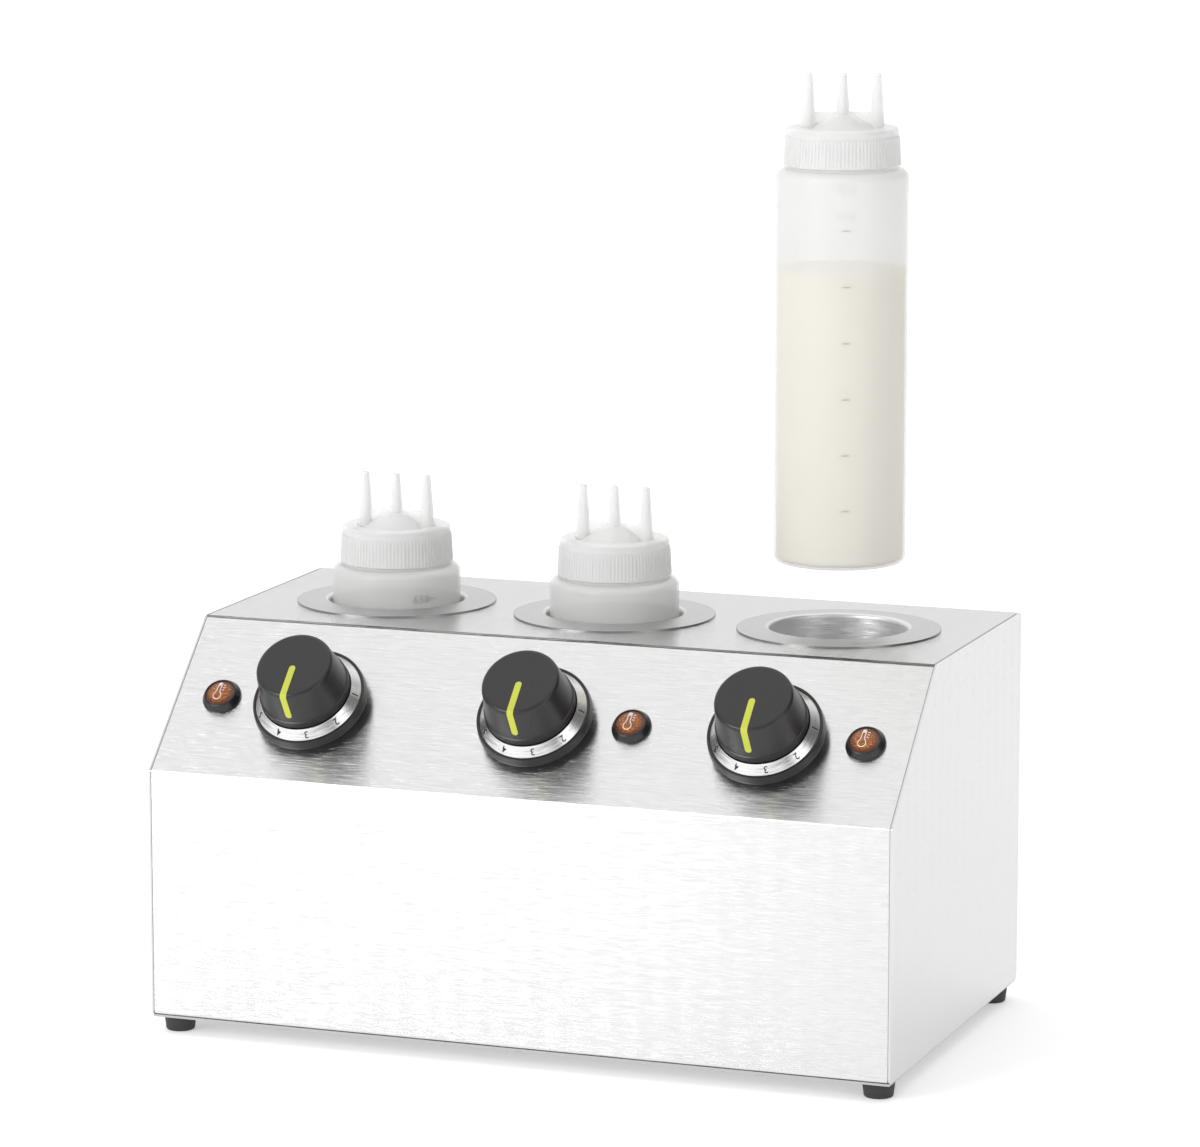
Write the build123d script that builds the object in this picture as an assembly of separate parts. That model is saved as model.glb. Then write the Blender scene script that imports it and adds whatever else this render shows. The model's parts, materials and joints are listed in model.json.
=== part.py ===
from build123d import *
import math
import os

# Three-well squeeze-bottle topping warmer, in millimetres.
# X runs to the right and Y to the back, Z is up and the feet stand on Z = 0.
# While it is built, X = 0 is the middle and Y = 0 is the upright front's outer face.

# Casing
casing_width = 400.0
casing_depth = 228.0
casing_height = 198.0        # lower edge of the casing to its top
slope_rise = 69.0            # top of the casing, above the fold between the upright front and the slope
slope_angle = 43.25          # slope from level, in degrees
casing_sheet = 1.0
base_sheet = 1.2
fold_radius = 0.8            # inside radius of every fold
seam_gap = 0.5               # open joint between the folded sheets and each end panel
lap_gap = 0.1                # between two sheets that lie on each other
end_flange = 12.0            # turned-in edge round an end panel
bottom_flange = 20.0         # turned-in lower edges, which carry the base plate
deck_lip = 12.0              # front panel's upper edge, turned in under the top
base_margin = 0.6            # base plate's edge, in from the casing's outside

# Vents in the base plate
vent_count = 7
vent_length = 50.0
vent_width = 4.0
vent_pitch = 16.0

# Feet and fasteners
foot_height = 8.8
foot_top_radius = 8.5
foot_bottom_radius = 7.4
foot_edge_radius = 1.2
foot_recess_radius = 4.6
foot_recess_depth = 5.0
foot_inset_x = 10.0          # foot centre, in from the casing's end
foot_inset_y = 13.5          # foot centre, in from the front and the rear
screw_radius = 2.0
screw_clearance = 0.15       # hole round a screw, on the radius
screw_head_radius = 3.7
screw_head_height = 2.3
nut_across_flats = 7.0
nut_height = 3.2
screw_tail = 1.0             # screw end that stands out of its nut
base_screw_pitch = 130.0
base_screw_inset = 9.0       # base screw, in from the front and the rear
base_screw_length = 6.0

# Wells
well_end_margin = 76.6        # outer wells and dials, in from the casing's ends
row_offset = 1.2             # middle well and dial, right of the casing's middle
well_setback = 148.0         # well centre, behind the upright front
well_radius = 36.0           # inside
well_sheet = 0.8
flange_gap = 17.4             # between two wells' flanges
well_flange_seat = 3.0       # flat edge of the flange, which lies on the top
well_flange_rise = 1.2       # from that edge up to the lip
well_lip_radius = 2.2
well_floor_radius = 5.0
well_hole_nudge = 0.4         # hole in the top, past halfway from the well's wall to the ring's edge
bottle_seat_height = 15.0    # a seated bottle's base, above the casing's lower edge
bottle_seat_gap = 0.3
clamp_ring_sheet = 1.2
clamp_ring_inset = 3.0        # clamp ring's edge, in from the flange's
clamp_ring_collar = 8.0
slip_gap = 0.15              # between round pieces pushed over each other

# Heaters, straps and insulation round each well
heater_thickness = 3.0
heater_bottom = 36.0         # above the casing's lower edge
heater_length = 100.0
heater_gap_angle = 50.0      # open front of the band, where the bulb lies
heater_box = (18.0, 7.0, 16.0)
strap_thickness = 0.7
strap_width = 8.0
strap_inset = 14.0           # strap, in from each end of the heater
strap_ear = 9.0
strap_ear_gap = 4.0
strap_bolt_radius = 1.5
strap_bolt_head_radius = 2.8
strap_bolt_head_height = 2.0
insulation_gap = 0.3
insulation_thickness = 8.0
insulation_overhang = 10.0   # past each end of the heater
insulation_slot = 24.0       # opening at the rear, for the heater's box and the strap ears

# Thermostats, on the slope
knob_up_slope = 47.1         # knob's axis, from the fold up the slope
spindle_radius = 3.0
spindle_running_gap = 0.05
spindle_flat = 1.4           # depth of the flat that drives the knob
spindle_flat_length = 16.0
bush_radius = 4.7
bush_hole_gap = 0.3
bush_stand = 2.5             # bush, out of the slope's face
thermostat_plate = (34.0, 46.0, 2.0)
thermostat_case = (36.0, 40.0, 24.0)
thermostat_bore = 14.0       # spindle, behind the fixing plate's front
thermostat_screw_pitch = 28.0
terminal_blade = (6.3, 0.8, 8.0)
terminal_pitch = 12.0
bulb_length = 72.0
bulb_clearance = 0.1         # bulb is that much thinner than the heater band
bulb_above_heater_bottom = 14.0
capillary_radius = 0.8
capillary_bend = 6.0
capillary_lead = 12.0        # straight run out of the thermostat
capillary_clear = 8.0        # bend over the insulation's top

# Dial and knob, as radii and heights off the slope's face
bezel_foot_radius = 25.6
bezel_radius = 30.3
bezel_widest = 4.8
bezel_rim_radius = 29.6
bezel_height = 9.5
bezel_floor = 6.3
bezel_floor_thickness = 1.9
bezel_hole_radius = 8.0
bezel_pocket_radius = 22.8   # pocket behind, over the thermostat's screws
ring_outer_radius = 28.3
ring_inner_radius = 24.1
ring_rise = 4.3              # number ring is a cone, this much higher at its inner edge
ring_thickness = 0.8
ring_sunk = 0.3              # outer edge, below the bezel's rim
ring_fit = 0.05
knob_bottom = 14.1
knob_height = 36.6
knob_base_radius = 23.6
knob_skirt_height = 4.0      # straight part, under the taper
knob_skirt_step = 0.6        # taper starts in from the skirt
knob_top_radius = 19.9
knob_edge_radius = 2.2
knob_wall = 2.2
knob_hub_radius = 6.5
knob_hub_lift = 1.5          # hub's end, above the skirt's
knob_bore_end = 6.0          # solid left over the spindle's end
knob_rib = 1.4
knob_rib_lift = 4.0
pointer_width = 3.4
pointer_proud = 0.25
pointer_depth = 0.9
pointer_inner_end = 0.6      # from the knob's axis
pointer_bottom = 21.5        # its lower end, off the slope

# Signal lamps
lamp_up_slope = 48.8
lamp_left_inset = 26.0       # in from the casing's left end
lamp_right_inset = 25.0      # in from its right end
lamp_middle_offset = 50.3    # right of the middle dial's centre
lamp_flange_radius = 10.3
lamp_flange_edge = 1.2
lamp_height = 4.4
lamp_rim_radius = 8.4
lamp_lens_radius = 7.6
lamp_lens_gap = 0.1
lamp_lens_seat = 2.2
lamp_lens_edge = 4.0
lamp_lens_crown = 5.3
lamp_barrel_radius = 7.0
lamp_barrel_length = 20.0
lamp_barrel_wall = 1.2
lamp_hole_gap = 0.2
lamp_clip_radius = 9.6
lamp_clip_thickness = 1.2

# Mains entry
gland_x = 92.0
gland_up = 34.0              # above the casing's lower edge
gland_bore_radius = 3.7
gland_thread_radius = 6.0
gland_thread_length = 13.0
gland_hex = 19.0
gland_hex_height = 4.0
gland_cap_radius = 8.3
gland_length = 12.0
gland_hole_gap = 0.2
locknut_height = 4.0
block_x = 40.0
block_edge_gap = 0.5         # between the block and the wrap's turned-in edge behind it
block_size = (60.0, 17.0, 16.0)
block_ways = 5
block_way_pitch = 10.0
block_entry_radius = 2.2
block_screw_radius = 2.4

# Squeeze bottle, up from its base
bottle_radius = 34.0
bottle_wall = 1.2
bottle_body_height = 203.2
bottle_shoulder_radius = 4.5
bottle_base_radius = 4.0
bottle_push_up = 1.2
bottle_push_up_radius = 27.0
neck_collar_radius = 28.3
neck_collar_height = 1.0
neck_radius = 26.9
neck_bore_radius = 25.2
sauce_height = 152.0
sauce_gap = 0.2
left_bottle_raised = 0.0
middle_bottle_raised = 0.0
right_bottle_raised = 219.0  # lifted out over its well
right_bottle_turn = 20.0

# Screw cap, up from its lower edge
cap_gap = 1.3                # bottle's shoulder to the cap's lower edge
cap_height = 19.7
cap_radius = 29.8
cap_step_radius = 29.0
cap_step_height = 15.2
cap_top_radius = 28.7
cap_edge_radius = 2.0
cap_wall = 1.7
cap_neck_gap = 0.4
cap_recess_radius = 20.6
cap_recess_depth = 2.0
cap_dome_radius = 18.0
cap_dome_height = 8.4
cap_dome_flat = 5.0
seal_thickness = 1.2
seal_gap = 0.1
seal_inner_radius = 24.4
nozzle_pitch = 17.5
nozzle_base_radius = 4.1
nozzle_tip_radius = 2.0
nozzle_height = 27.2         # above the cap's rim
nozzle_tip_bore = 1.1
nozzle_base_bore = 3.0
web_thickness = 1.6
web_height = 9.6             # above the recessed disc

# Sizes that follow from those above
slope_sine = math.sin(math.radians(slope_angle))
slope_cosine = math.cos(math.radians(slope_angle))
front_height = casing_height - slope_rise
slope_run = slope_rise * slope_cosine / slope_sine
casing_bottom = foot_height + base_sheet
casing_top = casing_bottom + casing_height
flange_top = casing_bottom + 2 * casing_sheet + lap_gap
screw_hole_radius = screw_radius + screw_clearance
well_pitch = casing_width / 2 - well_end_margin
well_outer_radius = well_radius + well_sheet
well_flange_radius = (well_pitch - flange_gap) / 2
clamp_ring_radius = well_flange_radius - clamp_ring_inset
well_hole_radius = (well_outer_radius + clamp_ring_radius) / 2 + well_hole_nudge
heater_outer_radius = well_outer_radius + slip_gap + heater_thickness
strap_outer_radius = heater_outer_radius + slip_gap + strap_thickness
bulb_radius = (heater_thickness - bulb_clearance) / 2
bulb_y = well_setback - well_outer_radius - slip_gap - bulb_radius
bottle_seat = casing_bottom + bottle_seat_height
bottle_depth = casing_height - bottle_seat_height
cap_underside = cap_height - cap_recess_depth - cap_wall
cap_bore_radius = neck_radius + cap_neck_gap
neck_height = cap_gap + cap_underside - seal_thickness - 2 * seal_gap
sides = {"left": -1, "middle": 0, "right": 1}
lamp_x = {
    "left": lamp_left_inset - casing_width / 2,
    "middle": row_offset + lamp_middle_offset,
    "right": casing_width / 2 - lamp_right_inset,
}
bottle_raised = {
    "left": left_bottle_raised,
    "middle": middle_bottle_raised,
    "right": right_bottle_raised,
}


def section(*corners):
    """Closed flat section from (across, up) corners, with a fillet radius as an optional third value."""
    points = [corner[:2] for corner in corners]
    radii = [corner[2] if len(corner) > 2 else 0 for corner in corners]
    return make_face(FilletPolyline(*points, radius=radii, close=True))


def turned(profile, angle=360.0):
    """Solid of revolution about Z from a section of (radius, height) corners."""
    return revolve(Plane.XZ * profile, Axis.Z, angle)


def tube(inner, outer, bottom, top):
    """Plain ring about Z."""
    return turned(section((inner, bottom), (outer, bottom), (outer, top), (inner, top)))


def rod(radius, bottom, top):
    """Plain round bar about Z."""
    return Pos(0, 0, (bottom + top) / 2) * Cylinder(radius, top - bottom)


def block(size, bottom):
    """Box centred on Z that stands on the given height."""
    return Pos(0, 0, bottom + size[2] / 2) * Box(*size)


def hexagon(across_flats, hole_radius, bottom, top):
    """Six-sided nut about Z."""
    outline = RegularPolygon(across_flats / 2, 6, major_radius=False)
    nut = Pos(0, 0, bottom) * extrude(outline, top - bottom)
    return nut - rod(hole_radius, bottom - 1, top + 1)


def pan_screw(radius, head_radius, head_height, length):
    """Screw with its head below Z = 0 and its shank going up."""
    profile = section(
        (0, -head_height),
        (head_radius, -head_height, head_height * 0.6),
        (head_radius, 0),
        (radius, 0),
        (radius, length),
        (0, length),
    )
    return turned(profile)


def group(solids):
    """Several separate solids kept as one node."""
    return Compound(children=[solid for piece in solids for solid in piece.solids()])


def on_slope(x, up_slope):
    """Place on the slope's outer face: X to the right, Y up the slope, Z straight out of it."""
    y = up_slope * slope_cosine
    z = casing_bottom + front_height + up_slope * slope_sine
    face = Plane(origin=(x, y, z), x_dir=(1, 0, 0), z_dir=(0, -slope_sine, slope_cosine))
    return face.location


def on_rear(x, up):
    """Place on the rear's outer face: Z straight out of it."""
    face = Plane(origin=(x, casing_depth, casing_bottom + up), x_dir=(-1, 0, 0), z_dir=(0, 1, 0))
    return face.location


def well_x(name):
    """X of a well, and of the dial in front of it."""
    return row_offset + sides[name] * well_pitch


def foot_places():
    """Foot centres by name."""
    places = {}
    for depth_name, y in (("front", foot_inset_y), ("rear", casing_depth - foot_inset_y)):
        for side_name, side in (("left", -1), ("right", 1)):
            places[f"{depth_name}_{side_name}"] = (side * (casing_width / 2 - foot_inset_x), y)
    return places


def base_screw_places():
    """Screws that hold the base plate to the wrap's turned-in edges."""
    rows = (base_screw_inset, casing_depth - base_screw_inset)
    return [(side * base_screw_pitch, y) for y in rows for side in (-1, 0, 1)]


def casing_section(inset, corner_radius, top=casing_height):
    """Side section of the casing up to a height, drawn in by inset all round."""
    outline = make_face(
        Polyline(
            (0, 0),
            (0, front_height),
            ((top - front_height) * slope_cosine / slope_sine, top),
            (casing_depth, top),
            (casing_depth, 0),
            close=True,
        )
    ).face()
    if inset > 0:
        outline = offset(outline, -inset, kind=Kind.INTERSECTION).face()
    if corner_radius > 0:
        outline = outline.fillet_2d(corner_radius, outline.vertices())
    return outline


def along_casing(profile, start, end):
    """Side section extruded between two X positions, standing on the feet and base plate."""
    solid = extrude(Plane.YZ * profile, end - start)
    return Pos(start, 0, casing_bottom) * solid


def make_casing_wrap():
    """Top and back in one folded sheet, turned in along the bottom."""
    outer_fold = fold_radius + casing_sheet
    inside_top = casing_height - casing_sheet
    inside_rear = casing_depth - casing_sheet
    sheet = section(
        (slope_run, casing_height),
        (casing_depth, casing_height, outer_fold),
        (casing_depth, 0, outer_fold),
        (slope_run, 0),
    )
    sheet -= section(
        (slope_run - casing_sheet, inside_top),
        (inside_rear, inside_top, fold_radius),
        (inside_rear, casing_sheet, fold_radius),
        (slope_run - casing_sheet, casing_sheet),
    )
    sheet -= section(
        (0, -casing_sheet),
        (casing_depth - bottom_flange, -casing_sheet),
        (casing_depth - bottom_flange, 2 * casing_sheet),
        (0, 2 * casing_sheet),
    )
    half = casing_width / 2 - casing_sheet - seam_gap
    wrap = along_casing(sheet, -half, half)
    through = 4 * casing_sheet
    for name in sides:
        well_hole = Cylinder(well_hole_radius, through)
        wrap -= Pos(well_x(name), well_setback, casing_top) * well_hole
    wrap -= on_rear(gland_x, gland_up) * Cylinder(gland_thread_radius + gland_hole_gap, through)
    for x, y in list(foot_places().values()) + base_screw_places():
        wrap -= Pos(x, y, casing_bottom) * Cylinder(screw_hole_radius, through)
    return wrap


def make_front_panel():
    """Upright front and slope in one folded sheet, turned in along the bottom and under the top."""
    under_top = casing_height - casing_sheet - lap_gap
    skin = casing_section(0, fold_radius + casing_sheet, under_top)
    skin -= casing_section(casing_sheet, fold_radius, under_top)
    skin &= section(
        (-casing_sheet, -casing_sheet),
        (bottom_flange, -casing_sheet),
        (bottom_flange, front_height / 2),
        (slope_run + deck_lip, front_height / 2),
        (slope_run + deck_lip, casing_height),
        (-casing_sheet, casing_height),
    )
    half = casing_width / 2 - casing_sheet - seam_gap
    panel = along_casing(skin, -half, half)
    inside = casing_section(casing_sheet, fold_radius)
    over_edge = along_casing(inside, half - end_flange, casing_width / 2)
    panel -= over_edge
    panel -= mirror(over_edge, Plane.YZ)
    through = 4 * casing_sheet
    for name in sides:
        knob_place = on_slope(well_x(name), knob_up_slope)
        panel -= knob_place * Cylinder(bush_radius + bush_hole_gap, through)
        for side in (-1, 1):
            screw_hole = Cylinder(screw_hole_radius, through)
            panel -= knob_place * Pos(side * thermostat_screw_pitch / 2, 0, 0) * screw_hole
        lamp_place = on_slope(lamp_x[name], lamp_up_slope)
        panel -= lamp_place * Cylinder(lamp_barrel_radius + lamp_hole_gap, through)
    for x, y in list(foot_places().values()) + base_screw_places():
        panel -= Pos(x, y, casing_bottom) * Cylinder(screw_hole_radius, through)
    return panel


def make_end_panel(side):
    """End plate with a turned-in edge under the folded sheets, and a wider one along the bottom."""
    outer_x = casing_width / 2
    inner_x = outer_x - casing_sheet
    under_wrap = casing_sheet + lap_gap
    plate = along_casing(casing_section(0, fold_radius + casing_sheet), inner_x, outer_x)
    edge = casing_section(under_wrap, fold_radius - lap_gap) - casing_section(under_wrap + casing_sheet, 0)
    panel = plate + along_casing(edge, inner_x - end_flange, inner_x)
    foot_strip = section(
        (under_wrap + casing_sheet, under_wrap),
        (casing_depth - under_wrap - casing_sheet, under_wrap),
        (casing_depth - under_wrap - casing_sheet, under_wrap + casing_sheet),
        (under_wrap + casing_sheet, under_wrap + casing_sheet),
    )
    panel += along_casing(foot_strip, inner_x - bottom_flange, inner_x)
    for x, y in foot_places().values():
        panel -= Pos(x, y, casing_bottom) * Cylinder(screw_hole_radius, 8 * casing_sheet)
    if side < 0:
        panel = mirror(panel, Plane.YZ)
    return panel


def make_base_plate():
    outline = Rectangle(casing_width - 2 * base_margin, casing_depth - 2 * base_margin)
    vent_places = GridLocations(well_pitch, vent_pitch, len(sides), vent_count)
    vents = vent_places * SlotOverall(vent_length, vent_width)
    plate = Pos(0, casing_depth / 2, foot_height) * extrude(outline - vents, base_sheet)
    for x, y in list(foot_places().values()) + base_screw_places():
        plate -= Pos(x, y, foot_height) * Cylinder(screw_hole_radius, 4 * base_sheet)
    return plate


def make_foot(x, y):
    """Tapered rubber foot with a recess for its screw."""
    hole_radius = screw_radius + screw_clearance
    profile = section(
        (foot_recess_radius, 0),
        (foot_bottom_radius, 0, foot_edge_radius),
        (foot_top_radius, foot_height),
        (hole_radius, foot_height),
        (hole_radius, foot_recess_depth),
        (foot_recess_radius, foot_recess_depth),
    )
    return Pos(x, y, 0) * turned(profile)


def make_foot_screw(x, y):
    length = flange_top + nut_height + screw_tail - foot_recess_depth
    screw = pan_screw(screw_radius, screw_head_radius, screw_head_height, length)
    return Pos(x, y, foot_recess_depth) * screw


def make_foot_nut(x, y):
    return Pos(x, y, 0) * hexagon(nut_across_flats, screw_hole_radius, flange_top, flange_top + nut_height)


def make_base_screw(x, y):
    screw = pan_screw(screw_radius, screw_head_radius, screw_head_height, base_screw_length)
    return Pos(x, y, foot_height) * screw


def make_well(name):
    """Drawn cup with a wide flange whose flat edge lies on the casing's top."""
    flat = well_flange_radius - well_flange_seat
    lip = well_flange_rise + well_sheet
    floor = -bottle_depth - bottle_seat_gap
    profile = section(
        (0, floor),
        (well_radius, floor, well_floor_radius),
        (well_radius, lip, well_lip_radius),
        (flat, well_sheet),
        (well_flange_radius, well_sheet),
        (well_flange_radius, 0),
        (flat, 0),
        (well_outer_radius, lip - well_sheet, well_lip_radius - well_sheet),
        (well_outer_radius, floor - well_sheet, well_floor_radius + well_sheet),
        (0, floor - well_sheet),
    )
    return Pos(well_x(name), well_setback, casing_top) * turned(profile)


def make_clamp_ring(name):
    """Ring pushed up the well against the underside of the top."""
    inner = well_outer_radius + slip_gap
    under_top = casing_top - casing_sheet
    profile = section(
        (inner, under_top - clamp_ring_collar),
        (inner + clamp_ring_sheet, under_top - clamp_ring_collar),
        (inner + clamp_ring_sheet, under_top - clamp_ring_sheet),
        (clamp_ring_radius, under_top - clamp_ring_sheet),
        (clamp_ring_radius, under_top),
        (inner, under_top),
    )
    return Pos(well_x(name), well_setback, 0) * turned(profile)


def make_heater(name):
    """Metal-sheathed band heater, open at the front, with its terminal box at the rear."""
    inner = well_outer_radius + slip_gap
    bottom = casing_bottom + heater_bottom
    top = bottom + heater_length
    outer = heater_outer_radius
    profile = section((inner, bottom), (outer, bottom), (outer, top), (inner, top))
    band = Rot(0, 0, heater_gap_angle / 2 - 90) * turned(profile, 360 - heater_gap_angle)
    box_width, box_depth, box_height = heater_box
    box_y = heater_outer_radius + box_depth / 2 - heater_thickness / 2
    box = Pos(0, box_y, bottom + heater_length / 2) * Box(box_width, box_depth + heater_thickness, box_height)
    box -= rod(heater_outer_radius - slip_gap, bottom, top)
    return Pos(well_x(name), well_setback, 0) * (band + box)


def strap_heights():
    """Lower edges of the two straps on a heater."""
    bottom = casing_bottom + heater_bottom
    return (bottom + strap_inset, bottom + heater_length - strap_inset - strap_width)


def make_straps(name):
    """Two sheet straps with turned-out ears at the rear."""
    inner = heater_outer_radius + slip_gap
    straps = []
    for bottom in strap_heights():
        top = bottom + strap_width
        strap = tube(inner, strap_outer_radius, bottom, top)
        gap = Box(strap_ear_gap, 2 * strap_ear, strap_width)
        strap -= Pos(0, strap_outer_radius, (bottom + top) / 2) * gap
        for side in (-1, 1):
            ear_x = side * (strap_ear_gap + strap_thickness) / 2
            ear_y = inner + strap_thickness / 2 + strap_ear / 2
            ear = Pos(ear_x, ear_y, (bottom + top) / 2) * Box(strap_thickness, strap_ear, strap_width)
            hole = Pos(0, inner + strap_ear / 2, (bottom + top) / 2) * Rot(0, 90, 0)
            strap += ear
            strap -= hole * Cylinder(strap_bolt_radius + slip_gap, 4 * strap_ear_gap)
        straps.append(Pos(well_x(name), well_setback, 0) * strap)
    return straps


def make_strap_bolts(name):
    """Bolt with its nut that draws a strap's ears together."""
    inner = heater_outer_radius + slip_gap
    grip = strap_ear_gap + 2 * strap_thickness
    bolt = pan_screw(strap_bolt_radius, strap_bolt_head_radius, strap_bolt_head_height, grip)
    bolt += rod(strap_bolt_head_radius, grip, grip + strap_bolt_head_height)
    bolts = []
    for bottom in strap_heights():
        place = Pos(well_x(name), well_setback + inner + strap_ear / 2, bottom + strap_width / 2)
        bolts.append(place * Rot(0, 90, 0) * Pos(0, 0, -grip / 2) * bolt)
    return bolts


def make_insulation(name):
    """Mineral wool sleeve, open at the rear for the heater's box and the strap ears."""
    inner = strap_outer_radius + insulation_gap
    bottom = casing_bottom + heater_bottom - insulation_overhang
    top = bottom + heater_length + 2 * insulation_overhang
    sleeve = tube(inner, inner + insulation_thickness, bottom, top)
    slot_depth = inner + insulation_thickness
    slot = Pos(0, slot_depth / 2 + insulation_thickness, (bottom + top) / 2)
    sleeve -= slot * Box(insulation_slot, slot_depth, 2 * (top - bottom))
    return Pos(well_x(name), well_setback, 0) * sleeve


def make_bulb(name):
    """Sensing bulb against the well's front, with its capillary up and over to the thermostat."""
    bottom = casing_bottom + heater_bottom + bulb_above_heater_bottom
    top = bottom + bulb_length
    bulb = Pos(0, bulb_y, 0) * rod(bulb_radius, bottom, top)
    case_width, case_height, case_depth = thermostat_case
    case_middle = -casing_sheet - thermostat_plate[2] - case_depth / 2
    entry = on_slope(0, knob_up_slope) * Pos(0, case_height / 2, case_middle)
    entry_y = entry.position.Y
    entry_z = entry.position.Z
    lead_y = entry_y + capillary_lead * slope_cosine
    lead_z = entry_z + capillary_lead * slope_sine
    insulation_top = casing_bottom + heater_bottom + heater_length + insulation_overhang
    path = FilletPolyline(
        (0, entry_y, entry_z),
        (0, lead_y, lead_z),
        (0, bulb_y, insulation_top + capillary_clear),
        (0, bulb_y, top),
        radius=capillary_bend,
    )
    end = Plane(origin=(0, entry_y, entry_z), z_dir=(0, slope_cosine, slope_sine))
    capillary = sweep(end * Circle(capillary_radius), path)
    return Pos(well_x(name), 0, 0) * (bulb + capillary)


def make_thermostat(name):
    """Capillary thermostat: case, fixing plate, bush and terminal blades, behind the slope."""
    plate_back = -casing_sheet - thermostat_plate[2]
    case_back = plate_back - thermostat_case[2]
    body = block(thermostat_plate, plate_back) + block(thermostat_case, case_back)
    body += rod(bush_radius, -casing_sheet, bush_stand)
    for x in (-terminal_pitch / 2, terminal_pitch / 2):
        for y in (-terminal_pitch / 2, terminal_pitch / 2):
            body += Pos(x, y, 0) * block(terminal_blade, case_back - terminal_blade[2])
    body -= rod(spindle_radius + spindle_running_gap, -casing_sheet - thermostat_bore, bush_stand)
    for side in (-1, 1):
        body -= Pos(side * thermostat_screw_pitch / 2, 0, 0) * rod(screw_hole_radius, plate_back, 0)
    return on_slope(well_x(name), knob_up_slope) * body


def make_thermostat_screws(name):
    """Two screws through the slope into the fixing plate, hidden under the bezel."""
    screw = pan_screw(screw_radius, screw_head_radius, screw_head_height, casing_sheet + thermostat_plate[2])
    turned_in = Rot(180, 0, 0) * screw
    place = on_slope(well_x(name), knob_up_slope)
    return [place * Pos(side * thermostat_screw_pitch / 2, 0, 0) * turned_in for side in (-1, 1)]


def spindle_shape(radius, bottom, top):
    """Round bar with the driving flat along its front end."""
    bar = rod(radius, bottom, top)
    flat_bottom = top - spindle_flat_length
    flat = Pos(0, 2 * spindle_radius - spindle_flat + radius - spindle_radius, (flat_bottom + top) / 2)
    return bar - flat * Box(4 * spindle_radius, 2 * spindle_radius, top - flat_bottom)


def make_spindle(name):
    bottom = -casing_sheet - thermostat_bore + spindle_running_gap
    top = knob_height - knob_bore_end
    return on_slope(well_x(name), knob_up_slope) * spindle_shape(spindle_radius, bottom, top)


def make_bezel(name):
    """Black dial moulding: flared outside, a conical seat for the number ring and a pocket behind."""
    ledge = bezel_height - ring_sunk - ring_thickness
    profile = section(
        (bezel_foot_radius, 0),
        (bezel_radius, bezel_widest, 1.5),
        (bezel_rim_radius, bezel_height, 0.4),
        (ring_outer_radius + ring_fit, bezel_height),
        (ring_outer_radius + ring_fit, ledge),
        (ring_outer_radius, ledge),
        (ring_inner_radius, ledge + ring_rise),
        (ring_inner_radius, bezel_floor),
        (bezel_hole_radius, bezel_floor),
        (bezel_hole_radius, bezel_floor - bezel_floor_thickness),
        (bezel_pocket_radius, bezel_floor - bezel_floor_thickness),
        (bezel_pocket_radius, 0),
    )
    return on_slope(well_x(name), knob_up_slope) * turned(profile)


def make_number_ring(name):
    """Conical sheet ring, let into the bezel's rim and higher at its inner edge."""
    top = bezel_height - ring_sunk
    profile = section(
        (ring_inner_radius, top + ring_rise - ring_thickness),
        (ring_outer_radius, top - ring_thickness),
        (ring_outer_radius, top),
        (ring_inner_radius, top + ring_rise),
    )
    return on_slope(well_x(name), knob_up_slope) * turned(profile)


def knob_envelope(grow):
    """Outside of the knob without its hollow, grown outwards by the given amount."""
    skirt_top = knob_bottom + knob_skirt_height
    taper_foot = knob_base_radius - knob_skirt_step
    profile = section(
        (0, knob_bottom),
        (knob_base_radius + grow, knob_bottom),
        (knob_base_radius + grow, skirt_top),
        (taper_foot + grow, skirt_top + knob_skirt_step / 2),
        (knob_top_radius + grow, knob_height + grow, knob_edge_radius + grow),
        (0, knob_height + grow),
    )
    return turned(profile)


def pointer_band():
    """Strip with round ends, from the knob's middle over its edge and down its side."""
    reach = 2 * knob_base_radius
    start = pointer_inner_end + pointer_width / 2
    seen_from_above = SlotCenterToCenter(reach, pointer_width, rotation=90)
    above = extrude(Pos(0, -start - reach / 2, 0) * seen_from_above, 2 * knob_height)
    seen_from_side = Pos(0, pointer_bottom + pointer_width / 2 + reach / 2) * seen_from_above
    beside = extrude(Plane.XZ * seen_from_side, 2 * reach, both=True)
    return above & beside


def make_knob(name):
    """Hollow tapered knob with a hub, four ribs and a groove for its pointer."""
    roof = knob_height - knob_wall
    hollow = turned(
        section(
            (knob_hub_radius, knob_bottom),
            (knob_base_radius - knob_wall, knob_bottom),
            (knob_base_radius - knob_skirt_step - knob_wall, knob_bottom + knob_skirt_height),
            (knob_top_radius - knob_wall, roof),
            (knob_hub_radius, roof),
        )
    )
    rib_bottom = knob_bottom + knob_rib_lift
    for rib_angle in (45, 135):
        rib = block((3 * knob_base_radius, knob_rib, roof - rib_bottom), rib_bottom)
        hollow -= Rot(0, 0, rib_angle) * rib
    hollow += rod(knob_hub_radius, knob_bottom, knob_bottom + knob_hub_lift)
    bore_end = knob_height - knob_bore_end + spindle_running_gap
    bore = spindle_shape(spindle_radius + spindle_running_gap, knob_bottom - 1, bore_end)
    groove = pointer_band() - knob_envelope(-pointer_depth)
    return on_slope(well_x(name), knob_up_slope) * (knob_envelope(0) - hollow - bore - groove)


def make_pointer(name):
    skin = knob_envelope(pointer_proud) - knob_envelope(-pointer_depth)
    return on_slope(well_x(name), knob_up_slope) * (pointer_band() & skin)


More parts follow.
